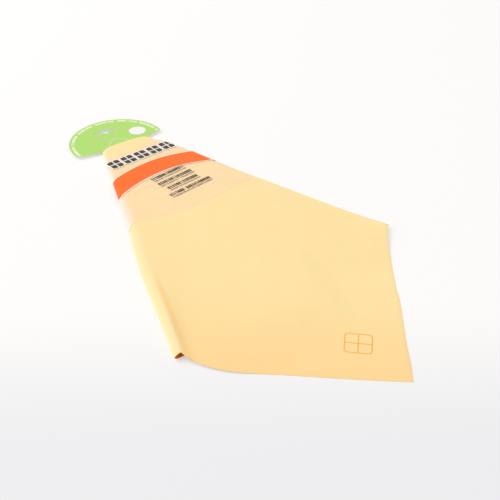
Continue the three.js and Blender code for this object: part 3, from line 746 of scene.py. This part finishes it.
def cloth_piece(thickness):
    down = np.linspace(0, 1, CLOTH_ROWS)
    reaches = np.linspace(0, 1, WING_COLUMNS + 1)[1:]
    turns = np.linspace(0, 1, FOLD_STEPS + 1)[1:]
    across = np.r_[
        np.linspace(0, ROUND_SHARE, ROUND_COLUMNS + 1)[:-1],
        np.linspace(ROUND_SHARE, POINT_SHARE, LEFT_COLUMNS + 1)[:-1],
        np.linspace(POINT_SHARE, 1, RIGHT_COLUMNS + 1),
    ]
    columns = [left_wing_point(reach, down) for reach in reaches[::-1]]
    columns += [fold_point(-1, mix(FOLD_START_Y, LEFT_END_Y, down), turn) for turn in turns[::-1]]
    first = len(columns)
    columns += [top_point(np.float64(share), down) for share in across]
    columns += [fold_point(1, mix(FOLD_START_Y, RIGHT_END_Y, down), turn) for turn in turns]
    columns += [right_wing_point(reach, down) for reach in reaches]
    points = np.concatenate(columns)
    faces = grid_faces(len(columns), CLOTH_ROWS)
    steps = TUCK_STEPS + TUCK_ROWS
    index = np.empty((len(across), steps + 1), int)
    index[:, 0] = (first + np.arange(len(across))) * CLOTH_ROWS
    for step in range(1, steps + 1):
        index[:, step] = len(points) + np.arange(len(across))
        points = np.r_[points, tuck_point(across, step)]
    for c in range(len(across) - 1):
        for step in range(steps):
            faces.append(tuple(int(i) for i in (
                index[c, step + 1], index[c, step], index[c + 1, step], index[c + 1, step + 1],
            )))
    solid, faces, front = thickened(points, faces, thickness, EDGE_PINCH)
    piece = new_piece("cloth_sheet", solid, faces)
    add_attribute(piece, "front", front)
    x, y = solid[:, 0], solid[:, 1]
    from_fold = x - left_fold_x(y)
    near_roll = ramp(from_fold, HOLLOW_START, HOLLOW_END) * (y > LEFT_END_Y - HOLLOW_DEPTH)
    add_attribute(piece, "hollow", (1 - front) * near_roll)
    # Painted highlight on the roll's back, and painted shade in the crease at its foot
    add_attribute(piece, "roll_highlight", front * ramp(from_fold, HIGHLIGHT_START, HIGHLIGHT_END))
    foot = fade(np.abs(from_fold - FOOT_PLACE) / FOOT_HALF_WIDTH) * ramp(y, *FOOT_RUN)
    add_attribute(piece, "foot", front * foot)
    return piece


def sleeve_row_y(across, down):
    """The sleeve's top edge slants, and its lower edge sags most left of its middle."""
    top_y = mix(SLEEVE_TOP_LEFT_Y, SLEEVE_TOP_RIGHT_Y, across)
    sag = SLEEVE_END_SAG * np.sin(np.pi * across ** SLEEVE_SAG_SKEW)
    return mix(top_y, SLEEVE_END_Y - sag, down)


def film_piece(thickness):
    """The sleeve as one sheet, wrapped round from its inner lap edge to its outer one."""
    down = np.linspace(0, 1, FILM_ROWS)
    turns = np.linspace(0, 1, FOLD_STEPS + 1)
    # From the cloth's middle surface to the film's, with room for the inner lap between them
    offset = CLOTH_THICKNESS / 2 + FILM_GAP + FILM_THICKNESS + FILM_THICKNESS / 2
    left_y, right_y = sleeve_row_y(np.float64(0), down), sleeve_row_y(np.float64(1), down)
    side_drop = SLEEVE_SIDE_DROP * down
    left = []
    for turn in turns[::-1]:
        round_side = 1 - math.cos(math.pi * min(turn, 0.5))
        left.append(fold_point(-1, left_y - side_drop * round_side, turn, offset))
    right = [fold_point(1, right_y, turn, offset) for turn in turns]
    for turn, column in zip(turns, right):
        column[:, 0] += SLEEVE_RIGHT_EASE * right_swelling(right_y) * np.sin(np.pi * turn)
    top = []
    for share in np.linspace(0, 1, FILM_COLUMNS)[1:-1]:
        y = sleeve_row_y(share, down)
        x = mix(left[-1][:, 0], right[0][:, 0], share)
        top.append(np.stack([x, y, top_height(x, y) + offset], -1))
    middle_y = (left_y - side_drop + right_y) / 2
    lap_x, lap_rise = LAP_WIDTH / 2, FILM_THICKNESS + LAP_GAP

    def on_back(x, rise):
        return np.stack(np.broadcast_arrays(x, middle_y, left[0][:, 2] + rise), -1)

    inner_lap = [on_back(x, lap_rise) for x in (lap_x, 0, -lap_x)] + [on_back(-lap_x - LAP_SLOPE, 0)]
    inner_lap += [mix(inner_lap[-1], left[0], share) for share in (1 / 3, 2 / 3)]
    outer_lap = [mix(right[-1], on_back(lap_x, 0), share) for share in (1 / 3, 2 / 3)]
    outer_lap += [on_back(x, 0) for x in (lap_x, 0, -lap_x)]
    columns = [*inner_lap, *left, *top, *right, *outer_lap]
    outer_faces = grid_faces(len(columns), FILM_ROWS)
    solid, faces, _ = thickened(np.concatenate(columns), outer_faces, thickness)
    outer = np.arange(len(faces)) < len(outer_faces)
    shown = np.zeros(len(columns))
    shown[len(inner_lap):-len(outer_lap)] = 1
    printed = np.tile(np.repeat(shown, FILM_ROWS), 2)
    # Painted reflection along the creased sides, strongest halfway round each fold and weaker on the right
    side = np.sin(np.pi * turns) ** CREASE_SOFTNESS
    creased = np.zeros(len(columns))
    creased[len(inner_lap):len(inner_lap) + len(left)] = side
    creased[-len(outer_lap) - len(right):-len(outer_lap)] = RIGHT_CREASE_REFLECTION * side
    run = np.concatenate([np.linalg.norm(column - column[0], axis=1) for column in columns])
    piece = new_piece("sleeve_film", solid, faces)
    add_attribute(piece, "outer", outer, "FACE")
    add_attribute(piece, "printed", printed)
    add_attribute(piece, "crease", np.tile(np.repeat(creased, FILM_ROWS), 2))
    add_attribute(piece, "run", np.tile(run, 2))
    return piece


def colour_property(name, description, hex_colour):
    return bpy.props.FloatVectorProperty(
        name=name, description=description, subtype="COLOR", size=4, min=0, max=1,
        default=linear(hex_colour),
    )


def share_property(name, description, default):
    return bpy.props.FloatProperty(
        name=name, description=description, subtype="FACTOR", min=0, max=1, default=default,
    )


def length_property(name, description, default):
    return bpy.props.FloatProperty(
        name=name, description=description, unit="LENGTH", min=0, default=default,
    )


def place_property(name, description, default):
    return bpy.props.FloatVectorProperty(
        name=name, description=description, unit="LENGTH", size=3, default=default,
    )


class ClothSettings(bpy.types.PropertyGroup):
    thickness: length_property("Thickness", "Thickness of the cloth", CLOTH_THICKNESS * MM)
    colour: colour_property("Colour", "Pale side of the cloth's grain", "#FFE5A9")
    shade: colour_property("Shade", "Dark side of the cloth's grain", "#FFE0A1")
    cloud: colour_property("Cloud", "Faint clouds in the dye", "#FFE0A0")
    # Painted shade towards the lower left edge, where the light falls off
    falloff_shade: colour_property("Deep", "The deeper dye near the lower left edge", "#FFD896")
    # Painted highlight on the back of the left roll
    roll_highlight: colour_property("Stretched", "The back of the left roll, where the cloth stretches", "#FFE4AC")
    # Painted shade in the crease at the foot of the roll
    foot: colour_property("Foot", "The pressed crease at the foot of the roll", "#FFD791")
    stamp: colour_property("Stamp", "Ink of the stamp near the cloth's point", "#F4B24C")
    # Painted light inside the roll
    hollow: colour_property("Hollow", "The inside of the roll, lit through the cloth", "#FF9C22")


class SleeveSettings(bpy.types.PropertyGroup):
    thickness: length_property("Thickness", "Thickness of the film", FILM_THICKNESS * MM)
    veil: share_property("Veil", "How much the bare film covers", 0.15)
    # Painted sheen in the film's streaks
    streak_sheen: share_property("Streak veil", "How much more it covers in its streaks", 0.09)
    # Painted reflection along the creased sides
    crease_reflection_veil: share_property("Crease veil", "How much the film covers along its creased sides", 0.65)
    edge_veil: share_property("Edge veil", "How much the film's upper edge covers", 0.34)
    ink_cover: share_property("Ink", "How much the ink covers", 0.99)
    film: colour_property("Film", "Milky tint of the bare film", "#FFE8E6")
    # Tint of the painted reflection along the creased sides
    crease_reflection_tint: colour_property("Crease tint", "Milky tint of the creased film", "#FFFAEE")
    white_ink: colour_property("White ink", "Outlines and piping", "#FBF3E8")
    orange_ink: colour_property("Orange ink", "The band", "#FF6C08")
    dark_ink: colour_property("Dark ink", "Window panes and bars", "#43332B")


class CardSettings(bpy.types.PropertyGroup):
    board: colour_property("Board", "Print of the card's face", "#B0DC69")
    board_shade: colour_property("Board shade", "Darker side of the board's clouding", "#ABD864")
    card_print: colour_property("Marks", "Marks round the card's rim", "#F4F8E6")
    core: colour_property("Core", "Cut edges and back of the board", "#F1F4E4")
    label: colour_property("Label", "The round label", "#F8F4F2")
    label_shade: colour_property("Label shade", "Tooth of the label's paper", "#F3EFED")


class StageSettings(bpy.types.PropertyGroup):
    lens: bpy.props.FloatProperty(
        name="Lens", description="Focal length of the camera", unit="CAMERA", min=1, default=57.6,
    )
    camera: place_property(
        "Camera", "Place of the camera", [v * MM + o for v, o in zip((-425.0, -817.7, 498.6), ORIGIN)],
    )
    aim: place_property(
        "Aim", "Where the camera looks", [v * MM + o for v, o in zip((-7.95, -280.5, 0.0), ORIGIN)],
    )
    # The floor's painted shade: the direction and the distances over which it darkens
    near: bpy.props.FloatVectorProperty(
        name="Near side", description="Direction in which the floor darkens", subtype="XYZ", size=2,
        default=(-0.61, -0.79),
    )
    near_start: length_property("Near start", "Where the floor starts to darken", 0.12)
    near_end: length_property("Near end", "Where the floor is darkest", 0.32)
    floor_size: length_property("Floor size", "Width of the floor", 12.0)
    far_floor: colour_property("Far floor", "The floor beyond the cloth", "#FDFBF9")
    # Colour of the floor's painted shade on its near side
    near_floor_shade: colour_property("Near floor", "The floor before the cloth", "#EEEDEF")
    floor_glow: share_property("Floor glow", "How far the floor shows its own colour unshaded", 0.5)
    key: bpy.props.FloatProperty(
        name="Key", description="Power of the soft key light", unit="POWER", min=0, default=235,
    )
    key_size: length_property("Key size", "Width of that light", 5.9)
    key_place: place_property("Key place", "Place of that light", (-2.88, 3.74, 4.32))
    sky: share_property("Sky", "Strength of the light from all round", 0.7)


class CHAMOIS_OT_cloth(bpy.types.Operator):
    """Adds the folded cloth"""
    bl_idname = "chamois.cloth"
    bl_label = "Folded cloth"

    def execute(self, context):
        settings = context.scene.chamois_cloth
        piece = cloth_piece(settings.thickness / MM)
        dress(piece, cloth_material(settings))
        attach(piece, "cloth")
        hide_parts("chamois_cloth")
        return {"FINISHED"}


class CHAMOIS_OT_sleeve(bpy.types.Operator):
    """Adds the printed film sleeve round the cloth's narrow end"""
    bl_idname = "chamois.sleeve"
    bl_label = "Film sleeve"

    def execute(self, context):
        settings = context.scene.chamois_sleeve
        piece = film_piece(settings.thickness / MM)
        dress(piece, film_material(settings))
        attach(piece, "sleeve")
        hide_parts("film_sleeve")
        return {"FINISHED"}


class CHAMOIS_OT_card(bpy.types.Operator):
    """Finishes the header card and its round label"""
    bl_idname = "chamois.card"
    bl_label = "Header card"

    def execute(self, context):
        settings = context.scene.chamois_card
        dress(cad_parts["header_card"], card_material(settings))
        dress(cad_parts["round_label"], label_material(settings))
        return {"FINISHED"}


class CHAMOIS_OT_stage(bpy.types.Operator):
    """Adds the floor, the lights and the camera"""
    bl_idname = "chamois.stage"
    bl_label = "Stage"

    def execute(self, context):
        scene, settings = context.scene, context.scene.chamois_stage
        bpy.ops.object.select_all(action="DESELECT")
        bpy.ops.mesh.primitive_plane_add(size=settings.floor_size, location=(0, 0, 0))
        floor = context.active_object
        floor.name = "floor"
        dress(floor, floor_material(settings))
        light = bpy.data.lights.new("key", "AREA")
        light.shape, light.size, light.energy = "DISK", settings.key_size, settings.key
        key = bpy.data.objects.new("key", light)
        key.location = settings.key_place
        key.rotation_euler = (-key.location).to_track_quat("-Z", "Y").to_euler()
        scene.collection.objects.link(key)
        camera = bpy.data.objects.new("camera", bpy.data.cameras.new("camera"))
        camera.data.lens = settings.lens
        camera.location = settings.camera
        aim = Vector(settings.aim) - camera.location
        camera.rotation_euler = aim.to_track_quat("-Z", "Y").to_euler()
        scene.collection.objects.link(camera)
        scene.camera = camera
        world = bpy.data.worlds.new("studio")
        world.use_nodes = True
        background = world.node_tree.nodes["Background"]
        background.inputs["Color"].default_value = linear("#FFFFFF")
        # The studio's walls are white where they are seen or reflected, and light the part less than that
        seen = directly_seen(world.node_tree)
        strength = add_node(world.node_tree, "MapRange", (seen, 0, 1, settings.sky, 1))
        world.node_tree.links.new(strength, background.inputs["Strength"])
        scene.world = world
        scene.view_settings.view_transform = "Standard"
        return {"FINISHED"}


class CHAMOIS_PT_panel(bpy.types.Panel):
    bl_label = "Folded chamois cloth"
    bl_idname = "CHAMOIS_PT_panel"
    bl_space_type = "VIEW_3D"
    bl_region_type = "UI"
    bl_category = "Chamois"

    def draw(self, context):
        for operator, (name, group) in zip(OPERATORS, SETTINGS.items()):
            box = self.layout.box()
            for setting in group.__annotations__:
                box.prop(getattr(context.scene, name), setting)
            box.operator(operator.bl_idname)


SETTINGS = {
    "chamois_cloth": ClothSettings,
    "chamois_sleeve": SleeveSettings,
    "chamois_card": CardSettings,
    "chamois_stage": StageSettings,
}
OPERATORS = (CHAMOIS_OT_cloth, CHAMOIS_OT_sleeve, CHAMOIS_OT_card, CHAMOIS_OT_stage)


def register():
    for group in (*SETTINGS.values(), *OPERATORS, CHAMOIS_PT_panel):
        bpy.utils.register_class(group)
    for name, group in SETTINGS.items():
        setattr(bpy.types.Scene, name, bpy.props.PointerProperty(type=group))


def unregister():
    for name in SETTINGS:
        delattr(bpy.types.Scene, name)
    for group in (CHAMOIS_PT_panel, *OPERATORS, *SETTINGS.values()):
        bpy.utils.unregister_class(group)


def main():
    register()
    bpy.ops.chamois.stage()
    bpy.ops.chamois.cloth()
    bpy.ops.chamois.sleeve()
    bpy.ops.chamois.card()


if __name__ == "__main__":
    main()
